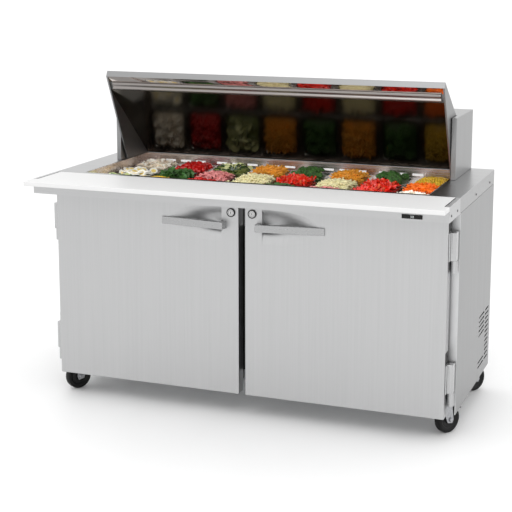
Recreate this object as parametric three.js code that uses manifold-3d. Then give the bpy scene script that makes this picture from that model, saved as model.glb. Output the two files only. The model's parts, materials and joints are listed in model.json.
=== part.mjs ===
// Two-door refrigerated sandwich prep table.
// Millimetres: X to the right, Y to the back, Z up, origin on the floor under the middle.
import * as THREE from "three";
import * as BufferGeometryUtils from "three/addons/utils/BufferGeometryUtils.js";
import Module from "manifold-3d";

const wasm = await Module();
wasm.setup();

// Driving dimensions
const HALF_WIDTH = 765;
const BACK = 432;
const CABINET_FRONT = -180;
const CABINET_BACK = 430;
const CABINET_TOP = 802.7;
const FLOOR_BOTTOM = 127.3;
const SKIRT_BOTTOM = 92;
const WALL_INNER = 715;
const WALL_OUTER = 762;
const FIT = 0.5;

const WORKTOP_TOP = 857;
const WELL = { x: 650, front: -168, back: 362, bottom: 700, top: 856.5, wall: 2.5 };
const PAN = { pitch: 162, rim: 3, rimTop: 819, bottom: 719, wall: 3, depth: 175.4 };
const PAN_COLUMNS = 8;
const PAN_ROWS = { pan_row_front: -79, pan_row_middle: 97, pan_row_rear: 273 };

const DOOR = { inner: 12.3, outer: 738, front: -242, back: -196, bottom: 92, top: 792 };
const HINGE_AXIS = { x: 752, y: -205 };
const HINGES = { upper: [600, 644, 743], lower: [133, 180, 283] };
const LOCK = { x: 40, z: 760, plug: 9, ring: 16 };
const HANDLE = { inner: 61, outer: 307, bottom: 702, top: 729, reach: 34, thick: 11 };
const SCOOP_CURVE = 1.2;
const SCOOP_SQUARENESS = 2.5;
const SCOOP = { x: 76.5, z: 716, length: 205, height: 62, depth: 32 };

const LID_PIVOT = { y: 183, z: 869 };
const LID_OPEN = THREE.MathUtils.degToRad(64.5);
const LID_HALF = 656;

const CASTER = { x: 709.5, front: -125, rear: 350, trail: 22, wheel: 50, width: 30, bore: 5.3 };
const CASTER_TURN = THREE.MathUtils.degToRad(-32);

const STEEL = 0xc6c8ca;
const BRIGHT = 0xd8dadd;
const BLACK = 0x17181a;
const WHITE = 0xf2f2f0;
const ZINC = 0xaeb2b8;
const COPPER = 0xa8653c;

const part = new THREE.Group();
part.name = "sandwich_prep_table";

// Solid helpers
function solid(geometry) {
  const bare = geometry.index ? geometry.toNonIndexed() : geometry;
  bare.deleteAttribute("normal");
  bare.deleteAttribute("uv");
  const merged = BufferGeometryUtils.mergeVertices(bare, 1e-4);
  return new wasm.Manifold(new wasm.Mesh({
    numProp: 3,
    vertProperties: new Float32Array(merged.attributes.position.array),
    triVerts: new Uint32Array(merged.index.array),
  }));
}

function box(x0, x1, y0, y1, z0, z1) {
  const geometry = new THREE.BoxGeometry(x1 - x0, y1 - y0, z1 - z0);
  geometry.translate((x0 + x1) / 2, (y0 + y1) / 2, (z0 + z1) / 2);
  return solid(geometry);
}

function cylinder(axis, centre, radius, length, sides = 20, topRadius = radius) {
  const geometry = new THREE.CylinderGeometry(topRadius, radius, length, sides);
  if (axis === "x") {
    geometry.rotateZ(-Math.PI / 2);
  }
  if (axis === "z") {
    geometry.rotateX(Math.PI / 2);
  }
  geometry.translate(...centre);
  return solid(geometry);
}

// A profile of [y, z] points carried along X from x0 to x1.
function alongX(points, x0, x1) {
  const outline = new THREE.Shape(points.map(([y, z]) => new THREE.Vector2(y, z)));
  const geometry = new THREE.ExtrudeGeometry(outline, { depth: x1 - x0, bevelEnabled: false });
  const turn = new THREE.Matrix4().makeBasis(
    new THREE.Vector3(0, 1, 0),
    new THREE.Vector3(0, 0, 1),
    new THREE.Vector3(1, 0, 0),
  );
  geometry.applyMatrix4(turn);
  geometry.translate(x0, 0, 0);
  return solid(geometry);
}

// The same for an outline in X and Y that is drawn out upwards.
function alongZ(points, z0, z1) {
  const outline = new THREE.Shape(points.map(([x, y]) => new THREE.Vector2(x, y)));
  const geometry = new THREE.ExtrudeGeometry(outline, { depth: z1 - z0, bevelEnabled: false });
  geometry.translate(0, 0, z0);
  return solid(geometry);
}

// A rectangular ring in X and Y, from its outer to its inner limits.
function ring(outer, inner, z0, z1) {
  const full = box(outer[0], outer[1], outer[2], outer[3], z0, z1);
  return full.subtract(box(inner[0], inner[1], inner[2], inner[3], z0 - 1, z1 + 1));
}

function union(solids) {
  return solids.reduce((total, next) => total.add(next));
}

function mirrored(body) {
  return body.mirror([1, 0, 0]);
}

function add(name, body, colour, roughness = 0.45, metalness = 0.8) {
  const mesh = body.getMesh();
  const positions = new Float32Array(mesh.vertProperties);
  const geometry = new THREE.BufferGeometry();
  geometry.setAttribute("position", new THREE.BufferAttribute(positions, 3));
  geometry.setIndex(new THREE.BufferAttribute(new Uint32Array(mesh.triVerts), 1));
  geometry.computeVertexNormals();
  const material = new THREE.MeshStandardMaterial({ color: colour, roughness, metalness });
  const node = new THREE.Mesh(geometry, material);
  node.name = name;
  part.add(node);
}

function addPair(name, body, colour, roughness, metalness) {
  add(`${name}_right`, body, colour, roughness, metalness);
  add(`${name}_left`, mirrored(body), colour, roughness, metalness);
}

// Cabinet
function sideWall() {
  const insulation = box(WALL_INNER, WALL_OUTER, CABINET_FRONT, CABINET_BACK, FLOOR_BOTTOM, CABINET_TOP);
  const skin = box(WALL_OUTER, HALF_WIDTH, CABINET_FRONT, CABINET_BACK, SKIRT_BOTTOM, CABINET_TOP);
  const machineRoom = box(700, WALL_OUTER, 175, 440, 90, 385);
  let wall = insulation.add(skin).subtract(machineRoom);
  for (const y of [-140, 60]) {
    wall = wall.add(box(WALL_INNER - 12, WALL_INNER + 1, y, y + 40, 425, 433.7));
  }
  const slots = [];
  for (let row = 0; row < 12; row += 1) {
    const z = 328 - row * 17.5;
    slots.push(box(700, 800, 336, 404, z, z + 7));
    if (row < 5 || row > 9) {
      slots.push(box(700, 800, 214, 322, z, z + 7));
    }
  }
  return wall.subtract(union(slots));
}

function insulatedFloor() {
  return box(-WALL_INNER + FIT, WALL_INNER - FIT, CABINET_FRONT, 129.5, FLOOR_BOTTOM, 165);
}

function rearWall() {
  const profile = [
    [130, FLOOR_BOTTOM],
    [175, FLOOR_BOTTOM],
    [175, 385],
    [CABINET_BACK, 385],
    [CABINET_BACK, CABINET_TOP],
    [385, CABINET_TOP],
    [385, 430],
    [130, 430],
  ];
  const wall = alongX(profile, -WALL_INNER + FIT, WALL_INNER - FIT);
  return wall.add(box(-40, 40, 118, 131, 421, 429));
}

function rearPanel() {
  let panel = box(-763, 763, 430.3, BACK, 100, CABINET_TOP);
  for (const x of [-560, -200, 160]) {
    for (let row = 0; row < 6; row += 1) {
      panel = panel.subtract(box(x, x + 400, 425, 435, 180 + row * 28, 190 + row * 28));
    }
  }
  return panel;
}

function mullion() {
  const post = box(-30, 30, CABINET_FRONT, -130, 165.3, 699.7);
  return post.add(box(-40, 40, -131, -118, 421, 429));
}

function shelf() {
  const [x0, x1, y0, y1] = [33, 711, -116, 116];
  let grid = box(x0, x1, y0, y1, 434, 440);
  const count = 14;
  const pitch = (x1 - x0 - 8) / count;
  for (let column = 0; column < count; column += 1) {
    const x = x0 + 8 + column * pitch;
    grid = grid.subtract(box(x, x + pitch - 8, y0 + 8, -4, 430, 450));
    grid = grid.subtract(box(x, x + pitch - 8, 4, y1 - 8, 430, 450));
  }
  return grid;
}

// Top
function worktop() {
  const outer = [-HALF_WIDTH, HALF_WIDTH, -190.4, BACK];
  const opening = [-653, 653, -171, 372];
  const frame = ring(outer, opening, 803.3, WORKTOP_TOP);
  const hollow = ring([-762, 762, -187.4, 429], [-656, 656, -174, 375], 800, 854);
  return frame.subtract(hollow);
}

function frontShelf() {
  const fascia = box(-HALF_WIDTH, HALF_WIDTH, -360, -357, 803, 840.7);
  const top = box(-HALF_WIDTH, HALF_WIDTH, -360, -191, 837.7, 840.7);
  const back = box(-HALF_WIDTH, HALF_WIDTH, -194, -191, 803, 840.7);
  const flange = box(751, HALF_WIDTH, -360, -191, 803, WORKTOP_TOP);
  return union([fascia, top, back, flange, mirrored(flange)]);
}

function cuttingBoard() {
  const outline = new THREE.Shape([
    new THREE.Vector2(-765, -432),
    new THREE.Vector2(765, -432),
    new THREE.Vector2(765, -361),
    new THREE.Vector2(748, -361),
    new THREE.Vector2(748, -191),
    new THREE.Vector2(-748, -191),
    new THREE.Vector2(-748, -361),
    new THREE.Vector2(-765, -361),
  ]);
  const geometry = new THREE.ExtrudeGeometry(outline, { depth: 16, bevelEnabled: false });
  geometry.translate(0, 0, 841);
  return solid(geometry);
}

function wellLiner() {
  const { x, front, back, bottom, top, wall } = WELL;
  const outer = [-x - wall, x + wall, front - wall, back + wall];
  const tub = ring(outer, [-x, x, front, back], bottom, top);
  const ledges = [
    box(-x - 1, x + 1, front - 1, front + 10, 812, 815.5),
    box(-x - 1, x + 1, back - 10, back + 1, 812, 815.5),
    box(x - 10, x + 1, front - 1, back + 1, 806, 809),
    box(-x - 1, -x + 10, front - 1, back + 1, 806, 809),
  ];
  let liner = union([tub, ...ledges]);
  for (const group of [-480, -255, -30, 195, 420]) {
    for (const offset of [-66, 0, 66]) {
      const middle = group + offset;
      liner = liner.subtract(box(middle - 21.5, middle + 21.5, back - 5, back + 5, 827, 835));
    }
  }
  return liner;
}

function frustum(x, y, z0, z1, bottom, top) {
  const geometry = new THREE.BoxGeometry(1, 1, 1);
  const position = geometry.attributes.position;
  for (let i = 0; i < position.count; i += 1) {
    const [halfX, halfY] = position.getZ(i) > 0 ? top : bottom;
    position.setXYZ(
      i,
      x + Math.sign(position.getX(i)) * halfX,
      y + Math.sign(position.getY(i)) * halfY,
      position.getZ(i) > 0 ? z1 : z0,
    );
  }
  return solid(geometry);
}

function panRow(y) {
  const half = PAN_COLUMNS * PAN.pitch / 2 - 0.3;
  const rimBottom = PAN.rimTop - PAN.rim;
  let row = box(-half, half, y - PAN.depth / 2, y + PAN.depth / 2, rimBottom, PAN.rimTop);
  const cavities = [];
  for (let column = 0; column < PAN_COLUMNS; column += 1) {
    const x = (column - (PAN_COLUMNS - 1) / 2) * PAN.pitch;
    row = row.add(frustum(x, y, PAN.bottom, rimBottom + 1, [62, 69], [68, 75]));
    cavities.push(frustum(x, y, PAN.bottom + PAN.wall, PAN.rimTop + 1, [59, 66], [65, 72]));
  }
  return row.subtract(union(cavities));
}

// Hood and lid
function hood() {
  const post = box(659, 677, 137, CABINET_BACK, 857.3, 1082);
  const roof = box(-677, 677, 231, CABINET_BACK, 1079, 1082);
  const back = box(-660, 660, 399, CABINET_BACK, 857.3, 1082);
  return union([post, mirrored(post), roof, back]);
}

// Lid outlines are given closed, about the pivot, and are turned to the open position.
function lidPoint([y, z]) {
  const c = Math.cos(LID_OPEN);
  const s = Math.sin(LID_OPEN);
  return [LID_PIVOT.y + y * c + z * s, LID_PIVOT.z - y * s + z * c];
}

function lidProfile(points, x0, x1) {
  return alongX(points.map(lidPoint), x0, x1);
}

const LINER_START = [-311, -6];
const LINER_END = [83, 157];

function linerLine(y, below) {
  const slope = (LINER_END[1] - LINER_START[1]) / (LINER_END[0] - LINER_START[0]);
  return [y, LINER_START[1] + (y - LINER_START[0]) * slope - below];
}

function lidShell() {
  const outer = [[6, -9], [88, 163], [88, 190], [60, 203], [-42, 203], [-384, 9], [-370, -9]];
  const lip = [[-311.2, 1.2], [-340, 1.2], [-369.5, -8.8], [-369.5, -30]];
  const cavity = [[100, -30], linerLine(100, 0), LINER_START, ...lip];
  const shell = lidProfile(outer, -LID_HALF, LID_HALF);
  return shell.subtract(lidProfile(cavity, -LID_HALF + 6, LID_HALF - 6));
}

function lidLiner() {
  const sheet = [linerLine(-309, 1.6), linerLine(83, 1.6), linerLine(83, 0.4), linerLine(-309, 0.4)];
  return lidProfile(sheet, -LID_HALF + 6.5, LID_HALF - 6.5);
}

function lidBar() {
  const ridge = [
    [-311.5, 0.8],
    [-339.6, 0.8],
    [-339.3, -3],
    [-333, -6.5],
    [-327, -3.5],
    [-323, -3.5],
    [-317, -8.5],
    [-312, -7],
  ];
  return lidProfile(ridge, -640, 640);
}

// Doors
// Stretches a round bowl's outline towards a rectangle with round corners.
function squared(geometry, power) {
  const { position } = geometry.attributes;
  for (let i = 0; i < position.count; i++) {
    const [x, y, z] = [position.getX(i), position.getY(i), position.getZ(i)];
    const reach = Math.hypot(x, z);
    if (reach > 0) {
      const stretch = ((Math.abs(x) ** power + Math.abs(z) ** power) ** (1 / power)) / reach;
      position.setXYZ(i, x / stretch, y, z / stretch);
    }
  }
  return geometry;
}

function doorPanel() {
  const slab = box(DOOR.inner, DOOR.outer, DOOR.front, DOOR.back, DOOR.bottom, DOOR.top);
  const steps = 8;
  const dish = [new THREE.Vector2(0, -0.3), new THREE.Vector2(1, -0.3)];
  for (let i = 0; i <= steps; i++) {
    const depth = i / steps;
    dish.push(new THREE.Vector2((1 - depth) ** (1 / SCOOP_CURVE), depth));
  }
  const bowl = squared(new THREE.LatheGeometry(dish, 32), SCOOP_SQUARENESS);
  bowl.scale(SCOOP.length, SCOOP.depth, SCOOP.height);
  bowl.translate(SCOOP.x, DOOR.front, SCOOP.z);
  const scoop = solid(bowl).intersect(box(SCOOP.x, DOOR.outer, -300, -200, 600, 800));
  const boss = cylinder("y", [LOCK.x, DOOR.front - 1, LOCK.z], LOCK.ring, 4);
  const hole = cylinder("y", [LOCK.x, DOOR.front - 4, LOCK.z], LOCK.plug + 0.5, 8);
  return slab.subtract(scoop).add(boss).subtract(hole);
}

function lockPlug() {
  return cylinder("y", [LOCK.x, DOOR.front - 2.2, LOCK.z], LOCK.plug, 3.8);
}

function doorGasket() {
  const full = box(14, 726, -195.7, -182, 135, 776);
  return full.subtract(box(30, 710, -200, -170, 151, 760));
}

// A flat bar that leaves the door at its outer end and slants out to its inner end.
function doorHandle() {
  const { inner, outer, bottom, top, reach, thick } = HANDLE;
  const face = DOOR.front - 0.3;
  const tip = 4.7;
  const slope = (reach - tip) / (outer - inner);
  const outline = [
    [inner, DOOR.front - reach],
    [outer, face - tip + 0.3],
    [outer, face],
    [inner + (reach - thick) / slope, face],
    [inner + thick + 1, DOOR.front - reach + thick + 2.4],
    [inner + thick - 1, face],
    [inner - 4, face],
  ];
  return alongZ(outline, bottom, top);
}

function hingeBase([bottom, split]) {
  const height = split - bottom - 0.3;
  const middle = bottom + height / 2;
  const knuckle = cylinder("z", [HINGE_AXIS.x, HINGE_AXIS.y, middle], 12, height, 16);
  return knuckle.add(box(744, 762, HINGE_AXIS.y, CABINET_FRONT - 0.3, bottom, bottom + height));
}

function hingeCap([, split, top]) {
  const block = box(742, 762, -222, -190, split + 0.3, top);
  return block.add(box(738.3, 743, -238, -200, split + 0.3, top));
}

// Casters, drawn rolling along +Y about their swivel axis, then turned and placed
function casterFork() {
  const crown = cylinder("z", [0, 0, 119], 30, 6, 20);
  const legShape = new THREE.Shape([
    new THREE.Vector2(-28, 118),
    new THREE.Vector2(8, 40),
    new THREE.Vector2(30, 36),
    new THREE.Vector2(36, 50),
    new THREE.Vector2(26, 118),
  ]);
  const leg = alongX(legShape.getPoints().map((p) => [p.x, p.y]), 16.6, 19.6);
  const axle = cylinder("x", [0, CASTER.trail, 50], 5, 46, 12);
  const bridge = box(-19.6, 19.6, -20, 22, 112, 118);
  return union([crown, bridge, leg, mirrored(leg), axle]);
}

function casterWheel() {
  const { wheel, width, bore } = CASTER;
  const half = width / 2;
  const profile = [
    [bore, -half],
    [18, -half],
    [20, -half + 3],
    [36, -half + 3],
    [38, -half],
    [wheel - 3, -half],
    [wheel, -half + 4],
    [wheel, half - 4],
    [wheel - 3, half],
    [38, half],
    [36, half - 3],
    [20, half - 3],
    [18, half],
    [bore, half],
    [bore, -half],
  ];
  const sides = 28;
  const flat = 1 / Math.cos(Math.PI / sides);
  const points = profile.map(([r, a]) => new THREE.Vector2(r * flat, a));
  const lathe = new THREE.LatheGeometry(points, sides, Math.PI / sides);
  lathe.rotateZ(-Math.PI / 2);
  lathe.translate(0, CASTER.trail, wheel);
  return solid(lathe);
}

function casterBrake() {
  const arm = [[16, 72], [28, 72], [68, 78], [80, 80], [80, 86], [62, 86], [24, 84], [16, 80]];
  const pedal = [[70, 79], [80, 80], [80, 86], [70, 86]];
  return alongX(arm, -22.6, -19.9).add(alongX(pedal, -22.6, 12));
}

function placeCaster(body, x, y, turn) {
  const degrees = THREE.MathUtils.radToDeg(turn);
  return body.rotate([0, 0, degrees]).translate([x, y, 0]);
}

function fan(axis, centre, radius, hubRadius, depth) {
  let wheel = cylinder("z", [0, 0, 0], hubRadius, depth, 16);
  for (let blade = 0; blade < 5; blade += 1) {
    const vane = box(hubRadius - 4, radius, -radius * 0.28, radius * 0.28, -1.2, 1.2);
    wheel = wheel.add(vane.rotate([24, 0, 0]).rotate([0, 0, blade * 72]));
  }
  const turned = axis === "x" ? wheel.rotate([0, 90, 0]) : wheel.rotate([90, 0, 0]);
  return turned.translate(centre);
}

// Refrigeration
function compressor() {
  const base = box(250, 450, 215, 395, 131.3, 137);
  const can = cylinder("z", [350, 305, 195], 78, 120, 24);
  const dome = cylinder("z", [350, 305, 268], 78, 28, 24, 48);
  return union([base, can, dome]);
}

function condenserCoil() {
  let coil = box(700, 744, 200, 410, 140, 350);
  for (let fin = 0; fin < 8; fin += 1) {
    coil = coil.subtract(box(695, 706, 212 + fin * 24, 224 + fin * 24, 150, 340));
  }
  const motor = cylinder("x", [689, 308, 245], 24, 30);
  const foot = box(705, 740, 215, 395, 131.3, 141);
  return union([coil, motor, foot]);
}

function evaporatorCover() {
  const shell = box(-270, 270, 232, 386 - 100, 430.3, 590);
  const hollow = box(-268, 268, 234, 400, 432.3, 588);
  const grille = cylinder("y", [0, 232, 510], 64, 12, 24);
  return shell.subtract(hollow).subtract(grille);
}

function evaporatorCoil() {
  const block = box(-250, 250, 300, 384.7, 440, 575);
  const motor = cylinder("y", [0, 286, 510], 20, 30);
  return block.add(motor).add(box(-240, 240, 310, 375, 430.3, 441));
}

addPair("side_wall", sideWall(), STEEL);
add("insulated_floor", insulatedFloor(), BRIGHT);
add("rear_wall", rearWall(), BRIGHT);
add("machine_base", box(-761.5, 761.5, 176, 429, FLOOR_BOTTOM, 131), STEEL);
add("rear_panel", rearPanel(), STEEL);
add("center_mullion", mullion(), BLACK, 0.5, 0.1);
const headerHalf = WALL_INNER - FIT;
add("front_header", box(-headerHalf, headerHalf, CABINET_FRONT, -172, 700, CABINET_TOP), STEEL);
add("worktop", worktop(), BRIGHT);
add("front_shelf", frontShelf(), STEEL);
add("control_display", box(607, 676, -363, -360.3, 809, 823), BLACK, 0.2, 0);
add("cutting_board", cuttingBoard(), WHITE, 0.5, 0);
add("pan_well_liner", wellLiner(), BRIGHT);
add("air_duct", box(-652, 652, 365, 371.5, 715, 856.5), WHITE, 0.5, 0);
for (const [name, y] of Object.entries(PAN_ROWS)) {
  add(name, panRow(y), BRIGHT);
}
add("pan_bar_front", box(-649.5, 649.5, 4, 14, 809.3, 815.5), STEEL);
add("pan_bar_rear", box(-649.5, 649.5, 180, 190, 809.3, 815.5), STEEL);
addPair("shelf", shelf(), BRIGHT);

add("hood", hood(), STEEL);
add("lid_shell", lidShell(), STEEL);
add("lid_liner", lidLiner(), BRIGHT, 0.08, 1);
add("lid_bar", lidBar(), BRIGHT, 0.2, 1);

addPair("door_panel", doorPanel(), STEEL);
addPair("door_gasket", doorGasket(), BLACK, 0.8, 0);
addPair("door_handle", doorHandle(), STEEL);
addPair("lock_plug", lockPlug(), BRIGHT);
for (const [level, heights] of Object.entries(HINGES)) {
  addPair(`hinge_base_${level}`, hingeBase(heights), STEEL);
  addPair(`hinge_cap_${level}`, hingeCap(heights), STEEL);
}

const rail = box(660, 760, -178, 428, 122.3, 127);
addPair("caster_rail", rail, ZINC);
const CORNERS = {
  front_right: [CASTER.x, CASTER.front, CASTER_TURN],
  front_left: [-CASTER.x, CASTER.front, CASTER_TURN + Math.PI],
  rear_right: [CASTER.x, CASTER.rear, CASTER_TURN],
  rear_left: [-CASTER.x, CASTER.rear, CASTER_TURN + Math.PI],
};
for (const [corner, place] of Object.entries(CORNERS)) {
  add(`caster_fork_${corner}`, placeCaster(casterFork(), ...place), ZINC);
  add(`caster_wheel_${corner}`, placeCaster(casterWheel(), ...place), BLACK, 0.7, 0);
  if (corner.startsWith("front")) {
    add(`caster_brake_${corner}`, placeCaster(casterBrake(), ...place), BLACK, 0.6, 0);
  }
}

add("compressor", compressor(), BLACK, 0.5, 0.4);
add("condenser_coil", condenserCoil(), COPPER);
add("condenser_fan", fan("x", [662, 308, 245], 92, 18, 20), STEEL);
add("evaporator_cover", evaporatorCover(), BRIGHT);
add("evaporator_coil", evaporatorCoil(), BRIGHT);
add("evaporator_fan", fan("y", [0, 258, 510], 58, 14, 16), BLACK, 0.5, 0.1);

export default part;
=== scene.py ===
"""Looks of a two-door refrigerated sandwich prep table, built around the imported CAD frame.

Everything is in metres, in the frame's own axes: X to the right, Y to the back, Z up.
"""

import json
import math
import random

import bmesh
import bpy
from mathutils import Matrix, Vector


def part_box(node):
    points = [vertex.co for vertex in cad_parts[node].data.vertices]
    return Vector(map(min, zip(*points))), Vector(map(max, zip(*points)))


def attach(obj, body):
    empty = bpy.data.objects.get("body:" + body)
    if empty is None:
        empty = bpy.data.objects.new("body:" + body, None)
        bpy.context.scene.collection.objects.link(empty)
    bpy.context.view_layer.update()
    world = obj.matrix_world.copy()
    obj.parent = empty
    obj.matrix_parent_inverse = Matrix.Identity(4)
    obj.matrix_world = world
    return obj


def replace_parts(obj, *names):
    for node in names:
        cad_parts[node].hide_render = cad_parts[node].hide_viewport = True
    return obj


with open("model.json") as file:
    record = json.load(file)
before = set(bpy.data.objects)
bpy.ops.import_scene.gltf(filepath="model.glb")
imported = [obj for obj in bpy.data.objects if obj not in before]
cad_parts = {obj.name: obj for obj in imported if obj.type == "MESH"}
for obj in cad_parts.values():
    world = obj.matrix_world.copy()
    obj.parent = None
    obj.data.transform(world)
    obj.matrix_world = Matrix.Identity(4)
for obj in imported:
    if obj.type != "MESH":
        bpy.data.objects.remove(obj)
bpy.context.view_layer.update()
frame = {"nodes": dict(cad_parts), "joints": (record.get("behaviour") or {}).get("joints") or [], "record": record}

MM = 0.001
BODIES = frame["record"]["behaviour"]["bodies"]
BODY_OF = {node: body for body, nodes in BODIES.items() for node in nodes}
SIDES = {"right": 1, "left": -1}


# Camera, light and floor


CAMERA_PLACE = (1.599, -4.330, 1.641)
CAMERA_TILT, CAMERA_TURN = 79.7, 20.7
CAMERA_SENSOR, CAMERA_LENS, CAMERA_SHIFT = 36, 89.4, -0.129
WORLD_STRENGTH = 1.3
FLOOR_REACH = 30
FLOOR_COLOUR = (0.82, 0.82, 0.82)
# Each light's place, the point it is aimed at, its size and its power in watts.
LIGHTS = {
    "key_light": ((0.5, -3.6, 3.8), (0, 0, 0.8), (3, 2), 55),
    "fill_light": ((4.5, -1.5, 3.0), (0, 0, 0.5), (3, 3), 15),
}


def make_camera():
    data = bpy.data.cameras.new("camera")
    data.sensor_width = CAMERA_SENSOR
    data.lens = CAMERA_LENS
    data.shift_y = CAMERA_SHIFT
    camera = bpy.data.objects.new("camera", data)
    camera.location = CAMERA_PLACE
    camera.rotation_euler = (math.radians(CAMERA_TILT), 0, math.radians(CAMERA_TURN))
    bpy.context.scene.collection.objects.link(camera)
    bpy.context.scene.camera = camera


def make_world():
    world = bpy.data.worlds.new("studio")
    world.use_nodes = True
    background = world.node_tree.nodes["Background"]
    background.inputs["Color"].default_value = (1, 1, 1, 1)
    background.inputs["Strength"].default_value = WORLD_STRENGTH
    bpy.context.scene.world = world
    bpy.context.scene.view_settings.view_transform = "Standard"


def area_light(name, location, target, size, power):
    data = bpy.data.lights.new(name, "AREA")
    data.shape = "RECTANGLE"
    data.size, data.size_y = size
    data.energy = power
    light = bpy.data.objects.new(name, data)
    light.location = location
    aim = Vector(target) - Vector(location)
    light.rotation_euler = aim.to_track_quat("-Z", "Y").to_euler()
    bpy.context.scene.collection.objects.link(light)


def make_floor():
    mesh = bpy.data.meshes.new("floor")
    signs = [(-1, -1), (1, -1), (1, 1), (-1, 1)]
    mesh.from_pydata([(x * FLOOR_REACH, y * FLOOR_REACH, 0) for x, y in signs], [], [(0, 1, 2, 3)])
    floor = bpy.data.objects.new("floor", mesh)
    bpy.context.scene.collection.objects.link(floor)
    floor.data.materials.append(surface("floor_paint", FLOOR_COLOUR, 0.6, scale=3, colour_spread=0.004))


# Materials


# The values between which most of the noise lies.
NOISE_LOW, NOISE_HIGH = 0.3, 0.7
# How far brushing draws the noise out, as a scale along its direction.
BRUSHED = 0.012
# Red, green and blue of plain steel for a tone of 1.
STEEL_TINT = (1, 1.004, 1.01)


def from_noise(material, grain, low, high):
    """The noise's value, spread from low to high."""
    node = material.node_tree.nodes.new("ShaderNodeMapRange")
    node.inputs["From Min"].default_value = NOISE_LOW
    node.inputs["From Max"].default_value = NOISE_HIGH
    node.inputs["To Min"].default_value = low
    node.inputs["To Max"].default_value = high
    material.node_tree.links.new(grain.outputs["Fac"], node.inputs["Value"])
    return node.outputs["Result"]


def surface(
    name,
    colour,
    roughness,
    metallic=0.0,
    stretch=(1, 1, 1),
    scale=60,
    colour_spread=0.05,
    rough_spread=0.04,
    bump=0.0,
    depth=0.2,
    tinted=False,
    **sockets,
):
    """A Principled material whose colour, roughness and height follow one stretched noise.

    A tinted one takes its colour from the mesh's tint layer. The bump's depth is in millimetres.
    """
    material = bpy.data.materials.new(name)
    material.use_nodes = True
    nodes, links = material.node_tree.nodes, material.node_tree.links
    shader = nodes["Principled BSDF"]
    shader.inputs["Metallic"].default_value = metallic
    for socket, value in sockets.items():
        shader.inputs[socket.replace("_", " ")].default_value = value
    place = nodes.new("ShaderNodeTexCoord")
    mapping = nodes.new("ShaderNodeMapping")
    mapping.inputs["Scale"].default_value = stretch
    links.new(place.outputs["Object"], mapping.inputs["Vector"])
    grain = nodes.new("ShaderNodeTexNoise")
    grain.inputs["Scale"].default_value = scale
    grain.inputs["Detail"].default_value = 5
    grain.inputs["Roughness"].default_value = 0.65
    links.new(mapping.outputs["Vector"], grain.inputs["Vector"])
    shade = from_noise(material, grain, 1 - colour_spread, 1 + colour_spread)
    tone = nodes.new("ShaderNodeVectorMath")
    tone.operation = "SCALE"
    tone.inputs[0].default_value = colour
    if tinted:
        tint = nodes.new("ShaderNodeVertexColor")
        tint.layer_name = "tint"
        links.new(tint.outputs["Color"], tone.inputs[0])
    links.new(shade, tone.inputs["Scale"])
    links.new(tone.outputs["Vector"], shader.inputs["Base Color"])
    rough = from_noise(material, grain, max(roughness - rough_spread, 0.01), roughness + rough_spread)
    links.new(rough, shader.inputs["Roughness"])
    if bump:
        relief = nodes.new("ShaderNodeBump")
        relief.inputs["Strength"].default_value = bump
        relief.inputs["Distance"].default_value = depth * MM
        links.new(grain.outputs["Fac"], relief.inputs["Height"])
        links.new(relief.outputs["Normal"], shader.inputs["Normal"])
    return material


def steel(name, tone, roughness, along, **more):
    """Brushed steel with its grain along one axis, "x", "y" or "z"."""
    stretch = [1.0, 1.0, 1.0]
    stretch["xyz".index(along)] = BRUSHED
    colour = tuple(tone * share for share in STEEL_TINT)
    settings = {"scale": 160, "colour_spread": 0.035, "rough_spread": 0.05, "bump": 0.12, "depth": 0.05}
    settings.update(more)
    return surface(name, colour, roughness, 1.0, stretch, **settings)


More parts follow.
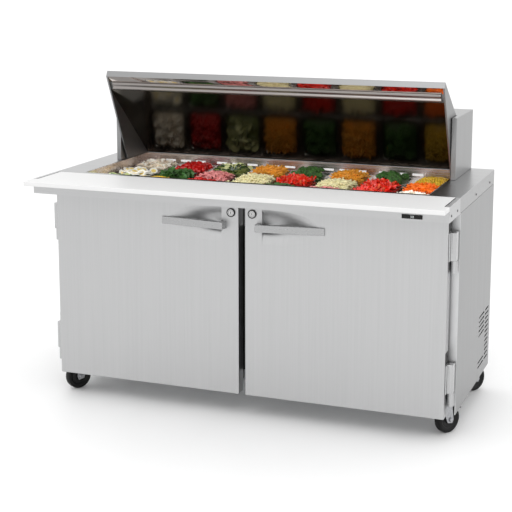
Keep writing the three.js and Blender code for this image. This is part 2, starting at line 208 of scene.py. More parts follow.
LOOKS = {
    "door_steel": steel("door_steel_upright", 0.47, 0.38, "z"),
    # The side walls' front edges: the same steel made lighter, as painted light.
    "lit_stile_steel": steel("stile_steel_upright_painted_light", 0.62, 0.4, "z"),
    # The sides' and back's steel: the same steel made darker, as painted shade on faces turned from the light.
    "shaded_side_steel": steel("side_steel_upright_painted_shade", 0.31, 0.4, "z"),
    "fascia_steel": steel("fascia_steel_level", 0.48, 0.4, "x"),
    "worktop_steel": steel("worktop_steel_level", 0.32, 0.32, "x"),
    "lid_steel": steel("lid_steel_level", 0.28, 0.45, "x"),
    "hood_steel": steel("hood_steel", 0.28, 0.36, "z"),
    "handle_steel": steel("handle_steel_level", 0.37, 0.26, "x"),
    "hinge_steel": steel("hinge_steel_upright", 0.46, 0.28, "z", scale=240),
    "pan_steel": surface("pan_steel_pressed", (0.42, 0.42, 0.42), 0.24, 1.0, scale=90, bump=0.05, depth=0.1),
    # The well's liner: light and pinkish, as painted light and a painted reflection of the food.
    "lit_liner_steel": surface("liner_steel_level_painted_light", (0.8, 0.71, 0.67), 0.26, 1.0, (BRUSHED, 1, 1), 160, 0.04,
                           bump=0.1, depth=0.05),
    # The lid's mirror: nearly black, as painted shade for the dim food under the lid.
    "shaded_mirror": surface("lid_mirror_painted_shade", (0.09, 0.08, 0.066), 0.14, 1.0, scale=30, rough_spread=0.015),
    "lip_mirror": surface("lip_mirror_film", (0.62, 0.57, 0.54), 0.06, 1.0, scale=30, rough_spread=0.01),
    "bright": surface("bright_trim", (0.27, 0.25, 0.24), 0.3, 1.0, scale=80, stretch=(0.02, 1, 1)),
    "interior": surface("interior_aluminium", (0.72, 0.73, 0.74), 0.4, 1.0, scale=140, bump=0.15, depth=0.1),
    "board": surface("board_polyethylene", (0.63, 0.63, 0.627), 0.45, scale=350, bump=0.15, depth=0.08,
                     colour_spread=0.012, Specular_IOR_Level=0.4),
    # The duct glows a little, as painted light behind the rear slots.
    "glowing_duct": surface("duct_plastic_white_painted_glow", (0.9, 0.9, 0.9), 0.5, scale=200, colour_spread=0.01,
                    Emission_Color=(1, 1, 1, 1), Emission_Strength=0.25),
    # Black plastic, also used as painted shade in gaps, slots and recesses.
    "black_and_shade": surface("black_plastic_and_painted_shade", (0.006, 0.006, 0.006), 0.5, scale=500, bump=0.1,
                     Specular_IOR_Level=0.3),
    "rubber": surface("gasket_rubber_matt", (0.01, 0.01, 0.01), 0.6, scale=400, bump=0.2),
    "tyre": surface("wheel_rubber_matt", (0.004, 0.004, 0.004), 0.6, scale=300, bump=0.2,
                    Specular_IOR_Level=0.25),
    "zinc": surface("zinc_plate", (0.4, 0.405, 0.42), 0.28, 1.0, scale=220, colour_spread=0.1, bump=0.2),
    "dark_metal": surface("dark_metal", (0.05, 0.05, 0.052), 0.35, 1.0, scale=200),
    "chrome": surface("lock_chrome", (0.5, 0.5, 0.5), 0.25, 1.0, scale=200, colour_spread=0.02),
    "paint": surface("compressor_paint_black", (0.015, 0.015, 0.016), 0.3, scale=120, bump=0.1),
    "fins": surface("coil_aluminium_fins", (0.7, 0.7, 0.7), 0.4, 1.0, scale=400, stretch=(1, 1, 0.05)),
    "digits": surface("display_digits", (0.5, 0.53, 0.53), 0.4, scale=200, Emission_Color=(0.75, 0.8, 0.8, 1),
                      Emission_Strength=0.45),
    # The well's right end, near black as painted shade.
    "well_end_shade": surface("well_end_painted_shade", (0.012, 0.012, 0.012), 0.4, scale=300, bump=0.1,
                          Specular_IOR_Level=0.2),
    "screen": surface("display_glass", (0.003, 0.003, 0.003), 0.2, scale=100, Specular_IOR_Level=0.25),
}


# Pieces


# The angle in degrees from which an edge is rounded, and the steps of a rounded corner.
ROUNDED_FROM = 35
ARC_STEPS = 4


def new_piece(name, mesh, look, body, smooth=30):
    """A shown mesh on a body, shaded smoothly but for edges sharper than the given degrees."""
    for polygon in mesh.polygons:
        polygon.use_smooth = True
    mesh.set_sharp_from_angle(angle=math.radians(smooth))
    piece = bpy.data.objects.new(name, mesh)
    bpy.context.scene.collection.objects.link(piece)
    mesh.materials.append(LOOKS[look] if isinstance(look, str) else look)
    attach(piece, body)
    return piece


def from_bmesh(name, made):
    mesh = bpy.data.meshes.new(name)
    made.to_mesh(mesh)
    made.free()
    return mesh


def bevelled(piece, width, segments=2):
    """The piece with its edges rounded by a width in millimetres."""
    bevel = piece.modifiers.new("rounded_edges", "BEVEL")
    bevel.width = width * MM
    bevel.segments = segments
    bevel.limit_method = "ANGLE"
    bevel.angle_limit = math.radians(ROUNDED_FROM)
    bevel.harden_normals = True
    return piece


def refined(node, look, width=0.8, segments=2):
    """The CAD node's own shape with its edges rounded, standing for the node."""
    made = bmesh.new()
    made.from_mesh(frame["nodes"][node].data)
    bmesh.ops.remove_doubles(made, verts=made.verts, dist=1e-5)
    bmesh.ops.dissolve_limit(made, angle_limit=math.radians(0.5), verts=made.verts, edges=made.edges)
    piece = new_piece(f"{node}_finished", from_bmesh(node, made), look, BODY_OF[node])
    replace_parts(piece, node)
    return bevelled(piece, width, segments)


def paint_faces(piece, look, chosen):
    """Another look for the faces whose centre and normal pass the test."""
    piece.data.materials.append(LOOKS[look])
    for polygon in piece.data.polygons:
        if chosen(polygon.center, polygon.normal):
            polygon.material_index = len(piece.data.materials) - 1


def block(name, size, centre, look, body, rounding=0.3):
    """A small bar or plate with rounded edges, its size in millimetres, its centre in metres."""
    made = bmesh.new()
    bmesh.ops.create_cube(made, size=1)
    bmesh.ops.scale(made, vec=Vector(size) * MM, verts=made.verts)
    bmesh.ops.translate(made, vec=centre, verts=made.verts)
    return bevelled(new_piece(name, from_bmesh(name, made), look, body), rounding)


def dressed(node, look):
    """The CAD node itself, with a better material."""
    materials = frame["nodes"][node].data.materials
    materials.clear()
    materials.append(LOOKS[look])


def loop_verts(made, points):
    return [made.verts.new(point) for point in points]


def bridge(made, loops, closed=False):
    """Quads between rings of vertices, with the ends capped unless the rings close on themselves."""
    pairs = list(zip(loops, loops[1:]))
    if closed:
        pairs.append((loops[-1], loops[0]))
    for first, second in pairs:
        count = len(first)
        for i in range(count):
            j = (i + 1) % count
            made.faces.new((first[i], first[j], second[j], second[i]))
    if not closed:
        made.faces.new(tuple(reversed(loops[0])))
        made.faces.new(tuple(loops[-1]))
    bmesh.ops.recalc_face_normals(made, faces=made.faces)


def rounded_rectangle(half_x, half_y, radius):
    points = []
    centres = [(1, 1, 0), (-1, 1, 90), (-1, -1, 180), (1, -1, 270)]
    for sign_x, sign_y, start in centres:
        for step in range(ARC_STEPS + 1):
            angle = math.radians(start + 90 * step / ARC_STEPS)
            x = sign_x * (half_x - radius) + radius * math.cos(angle)
            y = sign_y * (half_y - radius) + radius * math.sin(angle)
            points.append((x, y))
    return points


def axes_from(direction):
    """A rotation that turns +Z to the direction."""
    return Vector(direction).to_track_quat("Z", "Y").to_matrix().to_4x4()


def turned(
    name, profile, look, body, place, direction=(0, 0, 1), sides=32, smooth=30, hollow=False
):
    """A shape turned round an axis from (radius, height) points in millimetres, a ring if hollow."""
    made = bmesh.new()
    loops = []
    matrix = Matrix.Translation(Vector(place)) @ axes_from(direction)
    for radius, height in profile:
        ring = []
        for i in range(sides):
            angle = 2 * math.pi * i / sides
            point = Vector((radius * math.cos(angle), radius * math.sin(angle), height)) * MM
            ring.append(matrix @ point)
        loops.append(loop_verts(made, ring))
    bridge(made, loops, closed=hollow)
    return new_piece(name, from_bmesh(name, made), look, body, smooth)


# Pans


PAN_PITCH = 162 * MM
PAN_COLUMNS = 8
# Half width, half depth, corner radius and height of each ring, from under the rim in to the bottom.
PAN_SECTION = [
    (80.6, 87.6, 8, 816.1),
    (80.7, 87.7, 8, 818.4),
    (79.5, 86.5, 8, 819.4),
    (67.5, 74.5, 14, 818.6),
    (66.2, 73.2, 14, 817.2),
    (65.0, 72.0, 14, 812.0),
    (59.5, 66.5, 16, 726.0),
    (55.0, 62.0, 14, 721.6),
]
# The first ring that has an outer wall, and how thick the wall is.
PAN_WALL_START = 3
PAN_WALL = 0.8


def pan_mesh(name, centre_x, centre_y):
    made = bmesh.new()
    loops = []
    outer = [(x + PAN_WALL, y + PAN_WALL, r, z - PAN_WALL) for x, y, r, z in PAN_SECTION[PAN_WALL_START:]]
    for half_x, half_y, radius, height in PAN_SECTION[::-1] + outer:
        outline = rounded_rectangle(half_x * MM, half_y * MM, radius * MM)
        loops.append(loop_verts(made, [(centre_x + x, centre_y + y, height * MM) for x, y in outline]))
    bridge(made, loops)
    return from_bmesh(name, made)


def column_x(column):
    return (column - (PAN_COLUMNS - 1) / 2) * PAN_PITCH


def make_pans():
    for row in ("front", "middle", "rear"):
        node = f"pan_row_{row}"
        low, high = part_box(node)
        middle = (low.y + high.y) / 2
        for column in range(PAN_COLUMNS):
            name = f"pan_{row}_{column + 1}"
            mesh = pan_mesh(name, column_x(column), middle)
            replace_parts(new_piece(name, mesh, "pan_steel", "cabinet"), node)


# Food, each pan's as one mesh of small shapes with a tint on every face


class Shape:
    """Vertices in millimetres, faces, and one tint for each face."""

    def __init__(self, verts, faces, tints):
        self.verts = [Vector(v) for v in verts]
        self.faces = faces
        self.tints = tints


def ball(radius, tint, squash=(1, 1, 1), level=1, jitter=0.0, rng=None):
    made = bmesh.new()
    bmesh.ops.create_icosphere(made, subdivisions=level, radius=radius)
    verts = []
    for vert in made.verts:
        stretch = 1 + (rng.uniform(-jitter, jitter) if rng else 0)
        verts.append([vert.co[i] * squash[i] * stretch for i in range(3)])
    made.verts.ensure_lookup_table()
    faces = [[v.index for v in face.verts] for face in made.faces]
    made.free()
    return Shape(verts, faces, [tint] * len(faces))


def strip(length, width, thick, tint, bend=0.0, twist=0.0, steps=4, taper=1.0, side_tint=None):
    """A bar of the given length whose middle line is an arc that turns by bend in all."""
    verts, faces, tints = [], [], []
    across = Vector((0, 1, 0))
    for i in range(steps + 1):
        t = i / steps - 0.5
        angle = bend * t
        if abs(bend) > 1e-3:
            arc = length / bend
            centre = Vector((arc * math.sin(angle), 0, arc * (1 - math.cos(angle))))
        else:
            centre = Vector((length * t, 0, 0))
        shrink = 1 - (1 - taper) * abs(2 * t) ** 2
        along = Vector((math.cos(angle), 0, math.sin(angle)))
        up = Vector((-math.sin(angle), 0, math.cos(angle)))
        roll = twist * t
        side = across * math.cos(roll) + up * math.sin(roll)
        top = along.cross(side)
        for a, b in ((-1, -1), (1, -1), (1, 1), (-1, 1)):
            verts.append(centre + side * (a * width / 2 * shrink) + top * (b * thick / 2 * shrink))
    for i in range(steps):
        for j in range(4):
            k = (j + 1) % 4
            faces.append([4 * i + j, 4 * i + k, 4 * i + 4 + k, 4 * i + 4 + j])
            tints.append(side_tint if side_tint and j == 0 else tint)
    last = 4 * steps
    faces += [[3, 2, 1, 0], [last, last + 1, last + 2, last + 3]]
    tints += [tint, tint]
    return Shape(verts, faces, tints)


# How much of a slice's outline the middle of its face takes when it has no tone of its own.
PLAIN_INNER = 0.85


def slab(outline, thick, face_tint, edge_tint, inner=None, inner_tint=None):
    """A flat slice: an outline in X and Y, its thickness, and if asked a second tone inside it."""
    count = len(outline)
    verts = [(x, y, z) for z in (-thick / 2, thick / 2) for x, y in outline]
    faces = [[i, (i + 1) % count, count + (i + 1) % count, count + i] for i in range(count)]
    tints = [edge_tint] * count
    faces.append(list(range(count))[::-1])
    tints.append(face_tint)
    share = inner or PLAIN_INNER
    start = len(verts)
    verts += [(x * share, y * share, thick / 2) for x, y in outline]
    for i in range(count):
        j = (i + 1) % count
        faces.append([count + i, count + j, start + j, start + i])
        tints.append(face_tint)
    faces.append([start + i for i in range(count)])
    tints.append(inner_tint or face_tint)
    return Shape(verts, faces, tints)


def circle(radius, sides=16, squash=1.0):
    return [
        (radius * math.cos(2 * math.pi * i / sides), radius * squash * math.sin(2 * math.pi * i / sides))
        for i in range(sides)
    ]


def varied(tint, rng, spread=0.12):
    shift = 1 + rng.uniform(-spread, spread)
    return tuple(min(1.0, c * shift * (1 + rng.uniform(-spread, spread) * 0.3)) for c in tint)


def merged(shapes):
    verts, faces, tints = [], [], []
    for shape, offset in shapes:
        start = len(verts)
        verts += [v + Vector(offset) for v in shape.verts]
        faces += [[start + i for i in face] for face in shape.faces]
        tints += shape.tints
    return Shape(verts, faces, tints)


def mushroom_slice(rng):
    cap = [(16 * math.cos(a), 11 * math.sin(a) + 2) for a in (math.pi * i / 9 for i in range(10))]
    stem = [(-9, -1), (-4, -2), (-4.5, -12), (4.5, -12), (4, -2), (9, -1)]
    tint = varied((0.95, 0.9, 0.8), rng, 0.05)
    size = rng.uniform(0.8, 1.1)
    outline = [(x * size, y * size) for x, y in cap + stem]
    return slab(outline, 4.5, tint, varied((0.72, 0.6, 0.46), rng))


def tomato(rng):
    return ball(rng.uniform(9, 12), varied((0.5, 0.005, 0.003), rng), (1, 1, 0.9), 2)


def cucumber_slice(rng):
    flesh = varied((0.62, 0.68, 0.3), rng, 0.08)
    return slab(circle(rng.uniform(17, 21), 18), 5, flesh, (0.05, 0.13, 0.02), 0.55, (0.74, 0.76, 0.45))


def zucchini_slice(rng):
    outline = circle(rng.uniform(16, 20), 18)
    return slab(outline, 6, (0.5, 0.55, 0.2), (0.02, 0.05, 0.01), 0.9, (0.68, 0.7, 0.36))


def egg_slice(rng):
    white = varied((0.86, 0.85, 0.78), rng, 0.04)
    base = slab(circle(20, 18, 0.82), 5, white, white)
    yolk = slab(circle(9.5, 14), 1.6, (0.86, 0.66, 0.2), (0.8, 0.55, 0.12))
    return merged([(base, (0, 0, 0)), (yolk, (rng.uniform(-2, 2), 0, 2.9))])


def orange_shred(rng):
    tint = varied((0.84, 0.36, 0.035), rng, 0.16)
    return strip(rng.uniform(28, 44), 4.0, 3.4, tint, rng.uniform(-0.8, 0.8), rng.uniform(-0.6, 0.6))


def pale_shred(rng):
    tint = varied((0.82, 0.76, 0.46), rng, 0.1)
    return strip(rng.uniform(30, 46), 4.2, 3.4, tint, rng.uniform(-0.6, 0.6), rng.uniform(-0.5, 0.5))


def carrot_shred(rng):
    tint = varied((0.88, 0.17, 0.006), rng, 0.16)
    return strip(rng.uniform(20, 34), 6.5, 5.0, tint, rng.uniform(-0.9, 0.9), rng.uniform(-0.8, 0.8), 4, 0.7)


def pepper_strip(rng):
    tint = varied((0.72, 0.018, 0.006), rng, 0.2)
    inside = varied((0.78, 0.12, 0.05), rng)
    bend = rng.uniform(0.8, 2.2)
    return strip(rng.uniform(30, 46), 8.5, 3.6, tint, bend, rng.uniform(-0.5, 0.5), 7, 0.75, inside)


def ham_strip(rng):
    tint = varied((0.68, 0.25, 0.24), rng, 0.16)
    return strip(rng.uniform(18, 30), 9, 3.2, tint, rng.uniform(-1.2, 1.2), rng.uniform(-1, 1), 5, 0.85)


def corn_kernel(rng):
    tint = varied((0.86, 0.55, 0.04), rng, 0.14)
    return ball(rng.uniform(4.0, 4.8), tint, (1, 0.85, 1.15), 1)


def spinach_leaf(rng):
    tint = varied((0.035, 0.11, 0.018), rng, 0.4)
    length = rng.uniform(28, 44)
    return strip(length, length * 0.55, 1.4, tint, rng.uniform(-1.6, 1.6), rng.uniform(-1.3, 1.3), 7, 0.12)


FLORET_BUDS = 30
FLORET_REACH = 14.5
GOLDEN_ANGLE = 2.39996


def floret(rng):
    stem = strip(22, 9, 9, varied((0.34, 0.46, 0.14), rng), 0, 0, 3, 0.8)
    stem.verts = [Vector((v.y, v.z, v.x - 14)) for v in stem.verts]
    parts = [(stem, (0, 0, 0))]
    for i in range(FLORET_BUDS):
        polar = math.acos(1 - (i + 0.5) / FLORET_BUDS * 1.05)
        angle = i * GOLDEN_ANGLE
        place = (
            FLORET_REACH * math.sin(polar) * math.cos(angle),
            FLORET_REACH * math.sin(polar) * math.sin(angle),
            FLORET_REACH * 0.8 * math.cos(polar) - 2,
        )
        tint = varied((0.05, 0.14, 0.025), rng, 0.45)
        parts.append((ball(rng.uniform(3.4, 5.0), tint, level=1, jitter=0.14, rng=rng), place))
    return merged(parts)


# Each food's maker, how many pieces, their greatest tilt in radians, the heap's height in millimetres,
# and the tint of the bed under them, darker than the pieces' as painted shade.
FOODS = {
    "mushrooms": (mushroom_slice, 90, 0.8, 22, (0.75, 0.68, 0.55)),
    "tomatoes": (tomato, 80, 3.0, 20, (0.4, 0.01, 0.01)),
    "cucumber": (cucumber_slice, 44, 0.7, 14, (0.35, 0.4, 0.15)),
    "zucchini": (zucchini_slice, 48, 0.8, 16, (0.25, 0.3, 0.1)),
    "eggs": (egg_slice, 30, 0.5, 14, (0.6, 0.6, 0.45)),
    "orange_cheese": (orange_shred, 300, 0.4, 26, (0.6, 0.25, 0.03)),
    "pale_cheese": (pale_shred, 300, 0.35, 20, (0.6, 0.55, 0.3)),
    "broccoli": (floret, 20, 0.6, 24, (0.03, 0.08, 0.015)),
    "corn": (corn_kernel, 420, 3.0, 22, (0.6, 0.38, 0.03)),
    "carrots": (carrot_shred, 260, 0.6, 24, (0.6, 0.16, 0.02)),
    "red_peppers": (pepper_strip, 120, 0.8, 22, (0.4, 0.01, 0.01)),
    "ham": (ham_strip, 220, 0.7, 20, (0.45, 0.16, 0.15)),
    "spinach": (spinach_leaf, 120, 0.9, 18, (0.02, 0.06, 0.01)),
}
GLOSSY = {"tomatoes", "red_peppers", "cucumber", "zucchini", "corn", "eggs"}
# What is in each row's pans, from the left.
MENU = {
    "rear": [
        "mushrooms", "tomatoes", "zucchini", "orange_cheese", "broccoli", "orange_cheese", "broccoli", "corn",
    ],
    "middle": [
        "eggs", "spinach", "ham", "pale_cheese", "red_peppers", "pale_cheese", "red_peppers", "carrots",
    ],
    "front": [
        "cucumber", "corn", "tomatoes", "pale_cheese", "spinach", "ham", "red_peppers", "mushrooms",
    ],
}
# The height of a heap's edge and half its width and depth, in millimetres, and how rounded it is.
FOOD_BASE = 812
HEAP_HALF = (63, 70)
HEAP_ROUNDNESS = 0.55
# The bed's grid, how far it lies under the heap, and how deep it goes and how much it narrows to there.
BED_STEPS = 10
BED_SINK = 5
BED_FOOT, BED_TAPER = -30, 0.97
# How much of a piece's own reach stays inside the heap's outline.
PIECE_INSET = 0.55


def heap(u, v, crown):
    """Height of the heap in millimetres above its edge, for u and v from -1 to 1."""
    return crown * ((1 - u * u) * (1 - v * v)) ** HEAP_ROUNDNESS if abs(u) < 1 and abs(v) < 1 else 0


def heap_bed(crown, tint):
    """A closed dome that fills the pan under the loose pieces, in a tint darker than theirs as painted shade."""
    steps = BED_STEPS
    verts, faces = [], []
    for i in range(steps + 1):
        for j in range(steps + 1):
            u, v = 2 * i / steps - 1, 2 * j / steps - 1
            verts.append((u * HEAP_HALF[0], v * HEAP_HALF[1], heap(u, v, crown) - BED_SINK))
    for i in range(steps):
        for j in range(steps):
            a = i * (steps + 1) + j
            faces.append([a, a + steps + 1, a + steps + 2, a + 1])
    rim = [i * (steps + 1) for i in range(steps)] + [steps * (steps + 1) + j for j in range(steps)]
    rim += [i * (steps + 1) + steps for i in range(steps, 0, -1)] + list(range(steps, 0, -1))
    start = len(verts)
    verts += [(verts[i][0] * BED_TAPER, verts[i][1] * BED_TAPER, BED_FOOT) for i in rim]
    count = len(rim)
    for i in range(count):
        j = (i + 1) % count
        faces.append([rim[j], rim[i], start + i, start + j])
    faces.append([start + i for i in range(count)])
    return Shape(verts, faces, [tint] * len(faces))


def food_mesh(name, kind, centre_x, centre_y, rng):
    """One pan's food: a bed and loose pieces strewn over it."""
    maker, count, tilt, crown, bed_shade_tint = FOODS[kind]
    origin = Vector((centre_x, centre_y, FOOD_BASE * MM))
    verts, faces, tints = [], [], []

    def put(shape, matrix):
        start = len(verts)
        verts.extend(origin + (matrix @ v) * MM for v in shape.verts)
        faces.extend([start + i for i in face] for face in shape.faces)
        tints.extend(shape.tints)

    # The bed is darker than the pieces, as painted shade between them.
    put(heap_bed(crown, bed_shade_tint), Matrix.Identity(4))
    for _ in range(count):
        shape = maker(rng)
        reach = max(v.length for v in shape.verts)
        half_x, half_y = HEAP_HALF[0] - reach * PIECE_INSET, HEAP_HALF[1] - reach * PIECE_INSET
        x, y = rng.uniform(-half_x, half_x), rng.uniform(-half_y, half_y)
        height = heap(x / HEAP_HALF[0], y / HEAP_HALF[1], crown)
        turn = Matrix.Rotation(rng.uniform(0, 2 * math.pi), 4, "Z")
        lean = Matrix.Rotation(rng.uniform(-tilt, tilt), 4, "X")
        lean = lean @ Matrix.Rotation(rng.uniform(-tilt, tilt), 4, "Y")
        lift = rng.uniform(-2, 4)
        put(shape, Matrix.Translation((x, y, height + lift)) @ turn @ lean)
    mesh = bpy.data.meshes.new(name)
    mesh.from_pydata(verts, [], faces)
    layer = mesh.color_attributes.new("tint", "FLOAT_COLOR", "CORNER")
    colours = []
    for polygon, tint in zip(mesh.polygons, tints):
        colours.extend([tint[0], tint[1], tint[2], 1.0] * polygon.loop_total)
    layer.data.foreach_set("color", colours)
    return mesh


def make_food():
    wet = surface("food_wet", (1, 1, 1), 0.28, tinted=True, scale=250, colour_spread=0.12, bump=0.25,
                  depth=0.6, Coat_Weight=0.25, Coat_Roughness=0.15)
    dry = surface("food_dry", (1, 1, 1), 0.5, tinted=True, scale=350, colour_spread=0.14, bump=0.3, depth=0.6)
    for row, kinds in MENU.items():
        low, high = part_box(f"pan_row_{row}")
        for column, kind in enumerate(kinds):
            rng = random.Random(f"{row}{column}{kind}")
            name = f"food_{row}_{column + 1}_{kind}"
            mesh = food_mesh(name, kind, column_x(column), (low.y + high.y) / 2, rng)
            new_piece(name, mesh, wet if kind in GLOSSY else dry, "cabinet", 50)


# Doors


# Sections of the lock's parts, as radius and height in millimetres.
LOCK_COLLAR = [(12.0, -3.4), (15.9, -3.4), (15.9, -0.2), (15.2, 0.4), (12.8, 0.4), (12.0, -0.2)]
LOCK_PLATE = [(9.5, -1.0), (11.9, -1.0), (11.9, 0.1), (9.5, 0.1)]
LOCK_CYLINDER = [(0.4, 0.0), (8.2, 0.0), (8.9, -0.6), (8.9, -3.4), (0.4, -3.4)]
FORWARD = (0, -1, 0)


def make_lock(side):
    low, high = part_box(f"lock_plug_{side}")
    middle = (low + high) / 2
    face = Vector((middle.x, low.y, middle.z))
    door = f"door_{side}"
    turned(f"lock_collar_{side}", LOCK_COLLAR, "black_and_shade", door, face, FORWARD, 40, 25, True)
    turned(f"lock_plate_{side}", LOCK_PLATE, "chrome", door, face, FORWARD, 40, 25, True)
    body = f"lock_{side}"
    plug = turned(f"lock_cylinder_{side}", LOCK_CYLINDER, "chrome", body, face, FORWARD)
    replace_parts(plug, f"lock_plug_{side}")
    # The keyway is a black sliver on the plug's face, as painted shade in the slot.
    keyway = face - Vector((0, 0.1 * MM, 0))
    block(f"lock_keyway_{side}", (1.8, 0.5, 8), keyway, "black_and_shade", body, 0.1)


# The finger scoop: where its straight edge and its middle line are, its size, and its bowl's curve.
SCOOP_X, SCOOP_Z = 76.5, 716
SCOOP_LENGTH, SCOOP_HEIGHT, SCOOP_DEPTH = 205, 62, 32
SCOOP_SQUARENESS = 2.5
SCOOP_RINGS, SCOOP_STEPS = 18, 40


def scoop_depth(reach, angle):
    """Depth from 0 at the outline to 1 at the middle: a slope above it, and a shelf and a drop below it."""
    inward = 1 - reach
    above = 0.8 * inward + 0.2 * inward**2
    below = 0.22 * inward + 0.78 * inward**4
    share = min(max(math.sin(angle) + 0.6, 0), 1)
    share = share * share * (3 - 2 * share)
    return above * share + below * (1 - share)


def scoop_ring(reach):
    """Half an outline round the scoop's middle, from foot to top, as X, depth and Z in millimetres."""
    points = []
    for step in range(SCOOP_STEPS + 1):
        angle = math.pi * (step / SCOOP_STEPS - 0.5)
        across, up = max(math.cos(angle), 0), math.sin(angle)
        size = (across**SCOOP_SQUARENESS + abs(up) ** SCOOP_SQUARENESS) ** (-1 / SCOOP_SQUARENESS) * reach
        depth = scoop_depth(reach, angle) * SCOOP_DEPTH
        points.append((SCOOP_X + across * size * SCOOP_LENGTH, depth, SCOOP_Z + up * size * SCOOP_HEIGHT))
    return points


def make_scoop(made, point, front):
    """The scoop's bowl and the wall at its straight edge, giving the vertices of its outline."""
    rings = []
    for ring in range(SCOOP_RINGS):
        rings.append([point(x, front + depth, z) for x, depth, z in scoop_ring(1 - ring / SCOOP_RINGS)])
    for first, second in zip(rings, rings[1:]):
        for i in range(SCOOP_STEPS):
            made.faces.new((first[i], first[i + 1], second[i + 1], second[i]))
    centre = point(SCOOP_X, front + SCOOP_DEPTH, SCOOP_Z)
    for i in range(SCOOP_STEPS):
        made.faces.new((rings[-1][i], rings[-1][i + 1], centre))
    made.faces.new([ring[0] for ring in rings] + [centre] + [ring[-1] for ring in reversed(rings)])
    return rings[0]


def weigh_edges(made, outline):
    """Marks the folded edges between the outline's vertices, which alone get rounded."""
    weights = made.edges.layers.float.new("bevel_weight_edge")
    for edge in made.edges:
        if set(edge.verts) <= outline and edge.calc_face_angle(0) > 1:
            edge[weights] = 1


# How far the handle's feet stand off the door's face, in millimetres.
HANDLE_GAP = 0.3


def make_door_panel(side):
    """The door's steel skin, with a finely curved scoop in its front."""
    node = f"door_panel_{side}"
    low, high = (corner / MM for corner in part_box(node))
    sign = SIDES[side]
    inner, outer = sorted((abs(low.x), abs(high.x)))
    front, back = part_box(f"door_handle_{side}")[1].y / MM + HANDLE_GAP, high.y
    made = bmesh.new()

    def point(x, y, z):
        return made.verts.new((sign * x * MM, y * MM, z * MM))

    edge, half = make_scoop(made, point, front), SCOOP_STEPS // 2
    places = [(x, y, z) for x in (inner, outer) for y in (front, back) for z in (low.z, high.z)]
    corner = {place: point(*place) for place in places}
    foot, head = point(SCOOP_X, front, low.z), point(SCOOP_X, front, high.z)
    side_point = point(outer, front, SCOOP_Z)
    bottom_in, top_in = corner[inner, front, low.z], corner[inner, front, high.z]
    bottom_out, top_out = corner[outer, front, low.z], corner[outer, front, high.z]
    back_corners = [corner[inner, back, low.z], corner[outer, back, low.z],
                    corner[outer, back, high.z], corner[inner, back, high.z]]
    made.faces.new((bottom_in, foot, edge[0], edge[-1], head, top_in))
    made.faces.new([head] + edge[: half - 1 : -1] + [side_point, top_out])
    made.faces.new([foot, bottom_out, side_point] + edge[half::-1])
    made.faces.new(back_corners)
    made.faces.new((bottom_in, foot, bottom_out, back_corners[1], back_corners[0]))
    made.faces.new((top_in, head, top_out, back_corners[2], back_corners[3]))
    made.faces.new((bottom_in, top_in, back_corners[3], back_corners[0]))
    made.faces.new((bottom_out, side_point, top_out, back_corners[2], back_corners[1]))
    bmesh.ops.recalc_face_normals(made, faces=made.faces)
    weigh_edges(made, set(corner.values()) | {foot, head, side_point})
    panel = new_piece(f"{node}_finished", from_bmesh(node, made), "door_steel", f"door_{side}")
    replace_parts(panel, node)
    for polygon in panel.data.polygons:
        polygon.use_smooth = polygon.normal.y > -0.999
    bevelled(panel, 2.2, 4).modifiers["rounded_edges"].limit_method = "WEIGHT"


# The size in millimetres of the black plate above each hinge, painted shade between the door's edge and the hinge.
HINGE_SHADE_PLATE = (1, 43, 42)


def make_hinge_shade_plate(level, side):
    """A black plate on the door's edge, just above the hinge's cap, as painted shade."""
    sign = SIDES[side]
    door_low, door_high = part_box(f"door_panel_{side}")
    edge = door_high.x if sign > 0 else door_low.x
    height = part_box(f"hinge_cap_{level}_{side}")[1].z + (HINGE_SHADE_PLATE[2] / 2 + 2) * MM
    place = Vector((edge + sign * 0.2 * MM, door_high.y - (HINGE_SHADE_PLATE[1] / 2 + 1) * MM, height))
    block(f"hinge_shade_plate_{level}_{side}", HINGE_SHADE_PLATE, place, "black_and_shade", f"door_{side}", 0.2)


def make_doors():
    for side in SIDES:
        make_door_panel(side)
        refined(f"door_gasket_{side}", "rubber", 2.5, 3)
        refined(f"door_handle_{side}", "handle_steel", 1.4, 3)
        make_lock(side)
        for level in ("upper", "lower"):
            refined(f"hinge_cap_{level}_{side}", "hinge_steel", 2.2, 3)
            refined(f"hinge_base_{level}_{side}", "hinge_steel", 1.0, 2)
            make_hinge_shade_plate(level, side)


# Cabinet, top and lid


def make_cabinet():
    for side in SIDES:
        # The side walls take the darker steel, as painted shade.
        wall = refined(f"side_wall_{side}", "shaded_side_steel", 0.9)
        # The front-facing faces take the lighter steel, as painted light.
        paint_faces(wall, "lit_stile_steel", lambda centre, normal: normal.y < -0.5)
        refined(f"shelf_{side}", "interior", 1.5)
        refined(f"caster_rail_{side}", "zinc", 0.8)
    refined("insulated_floor", "interior")
    dressed("rear_wall", "interior")
    refined("machine_base", "zinc", 0.5)
    refined("rear_panel", "shaded_side_steel", 0.4, 1)
    refined("center_mullion", "black_and_shade", 2)
    refined("front_header", "fascia_steel", 1)
    refined("compressor", "paint", 3, 3)
    refined("condenser_coil", "fins", 0.5)
    refined("condenser_fan", "interior", 0.5)
    refined("evaporator_cover", "interior", 1)
    refined("evaporator_coil", "fins", 0.5)
    refined("evaporator_fan", "black_and_shade", 0.5)


# The width of the well's right end whose upward faces are painted near black, as painted shade.
WELL_SHADE_WIDTH = 30
# Which strokes each digit has, and each stroke's place in half widths and heights and whether it is level.
SEGMENTS = {"3": "abcdg", "8": "abcdefg"}
SEGMENT_PLACES = {
    "a": (0, 1, True), "b": (1, 0.5, False), "c": (1, -0.5, False), "d": (0, -1, True),
    "e": (-1, -0.5, False), "f": (-1, 0.5, False), "g": (0, 0, True),
}
DIGIT_HALF = (1.9, 3.4)
DIGIT_PITCH = 7


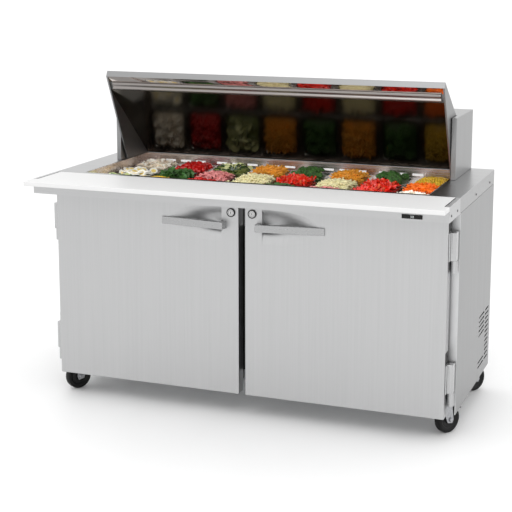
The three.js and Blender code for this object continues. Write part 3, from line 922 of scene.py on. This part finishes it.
def make_digits():
    """Two seven-segment digits on the display."""
    low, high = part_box("control_display")
    middle = (low + high) / 2
    for index, digit in enumerate("38"):
        for segment in SEGMENTS[digit]:
            across, up, level = SEGMENT_PLACES[segment]
            x = (index - 0.5) * DIGIT_PITCH + across * DIGIT_HALF[0]
            place = Vector((middle.x + x * MM, low.y - 0.1 * MM, middle.z + up * DIGIT_HALF[1] * MM))
            size = (2.9, 0.4, 0.9) if level else (0.9, 0.4, 2.5)
            name = f"display_digit_{index + 1}{segment}"
            block(name, size, place, "digits", "cabinet", 0.1)


# The screws' height and their places along Y in millimetres, and a head's section as radius and height.
SCREW_HEIGHT = 822
SCREW_PLACES = (-332, -238, 78, 340)
SCREW_HEAD = [(0.2, 0), (4.2, 0), (4.0, 0.8), (3.0, 1.5), (1.6, 1.9), (0.2, 2.0)]


def make_screws():
    """Round-head screws through the side flanges of the top, each with a black sliver as painted shade in its
    slot.
    """
    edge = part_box("worktop")[1].x
    for side, sign in SIDES.items():
        for number, y in enumerate(SCREW_PLACES):
            place = Vector((sign * edge, y * MM, SCREW_HEIGHT * MM))
            name = f"flange_screw_{side}_{number + 1}"
            turned(name, SCREW_HEAD, "dark_metal", "cabinet", place, (sign, 0, 0), 20)
            # The slot is a black sliver on the head, as painted shade.
            slot = place + Vector((sign * 1.9 * MM, 0, 0))
            block(f"{name}_slot", (0.4, 5.2, 0.8), slot, "black_and_shade", "cabinet", 0.05)


def make_top():
    refined("worktop", "worktop_steel", 1.6, 3)
    shelf = refined("front_shelf", "fascia_steel", 1.4, 3)
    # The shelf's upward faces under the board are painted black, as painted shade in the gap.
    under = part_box("cutting_board")[0].z - 3 * MM
    paint_faces(shelf, "black_and_shade", lambda centre, normal: normal.z > 0.5 and centre.z < under)
    board = refined("cutting_board", "board", 2.4, 3)
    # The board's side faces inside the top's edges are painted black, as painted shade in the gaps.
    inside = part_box("worktop")[1].x - 5 * MM
    paint_faces(board, "black_and_shade", lambda centre, normal: abs(normal.x) > 0.9 and abs(centre.x) < inside)
    # The liner's steel carries painted light and a painted reflection of the food.
    liner = refined("pan_well_liner", "lit_liner_steel", 0.6)
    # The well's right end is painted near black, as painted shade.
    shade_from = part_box("pan_well_liner")[1].x - WELL_SHADE_WIDTH * MM
    paint_faces(liner, "well_end_shade", lambda centre, normal: centre.x > shade_from and normal.z > 0.5)
    # The duct behind the slots glows, as painted light.
    refined("air_duct", "glowing_duct", 0.6)
    refined("pan_bar_front", "pan_steel", 1)
    refined("pan_bar_rear", "pan_steel", 1)
    refined("control_display", "screen", 0.8)
    make_digits()
    make_screws()


LID_ANGLE = 64.5
# Where the underside of the lid's lip faces with the lid open.
LIP_FACING = Matrix.Rotation(math.radians(-LID_ANGLE), 3, "X") @ Vector((0, 0.322, -0.947))


def make_lid():
    refined("hood", "hood_steel", 1.2, 3)
    shell = refined("lid_shell", "lid_steel", 1.2, 3)
    paint_faces(shell, "lip_mirror", lambda centre, normal: normal.dot(LIP_FACING) > 0.98)
    # The lid's mirror is darkened as painted shade.
    refined("lid_liner", "shaded_mirror", 0.3, 1)
    refined("lid_bar", "bright", 1.2, 3)


# Casters


# Sections of the wheel, the swivel's race and the axle's nuts, as radius and height in millimetres.
TREAD = [
    (34, -12), (40, -15), (44, -15.2), (47.6, -13.4), (49.4, -9.5), (50, -4),
    (50, 4), (49.4, 9.5), (47.6, 13.4), (44, 15.2), (40, 15), (34, 12),
]
HUB = [
    (6, -13.6), (15, -13.6), (17, -9), (30, -8), (35, -12.4),
    (35, 12.4), (30, 8), (17, 9), (15, 13.6), (6, 13.6),
]
RACE = [(4, 0), (27, 0), (29, -2), (29, -6), (27, -8), (4, -8)]
NUT = [(0.5, 0), (7.4, 0), (8.4, 1), (8.4, 5), (7.4, 6), (0.5, 6)]
# The height of the race's top and how far the nuts are from the wheel's middle, in metres.
RACE_HEIGHT = 0.1164
NUT_OFFSET = 0.0197


def make_caster(corner):
    fork = f"caster_{corner}"
    low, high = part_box(f"caster_wheel_{corner}")
    centre = (low + high) / 2
    fork_joint = next(j for j in frame["joints"] if j["child"] == fork)
    spin = next(j for j in frame["joints"] if j["child"] == f"wheel_{corner}")
    axle = Vector(spin["axis"]).normalized()
    body = f"wheel_{corner}"
    wheel = turned(f"tyre_{corner}", TREAD, "tyre", body, centre, axle, 48, 30, True)
    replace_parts(wheel, f"caster_wheel_{corner}")
    turned(f"hub_{corner}", HUB, "black_and_shade", body, centre, axle, 40, 30, True)
    refined(f"caster_fork_{corner}", "zinc", 1.2, 3)
    pivot = (fork_joint["pos_m"][0], fork_joint["pos_m"][1], RACE_HEIGHT)
    turned(f"swivel_race_{corner}", RACE, "zinc", fork, pivot, (0, 0, 1), 32, 30, True)
    for end, sign in (("inner", -1), ("outer", 1)):
        place = centre + axle * sign * NUT_OFFSET
        turned(f"axle_nut_{corner}_{end}", NUT, "zinc", fork, place, axle * sign, 6, 20)
    if corner.startswith("front"):
        refined(f"caster_brake_{corner}", "black_and_shade", 1.0, 3)


def make_casters():
    for corner in ("front_right", "front_left", "rear_right", "rear_left"):
        make_caster(corner)


make_camera()
make_world()
make_floor()
for light_name, settings in LIGHTS.items():
    area_light(light_name, *settings)
make_cabinet()
make_top()
make_pans()
make_food()
make_lid()
make_doors()
make_casters()
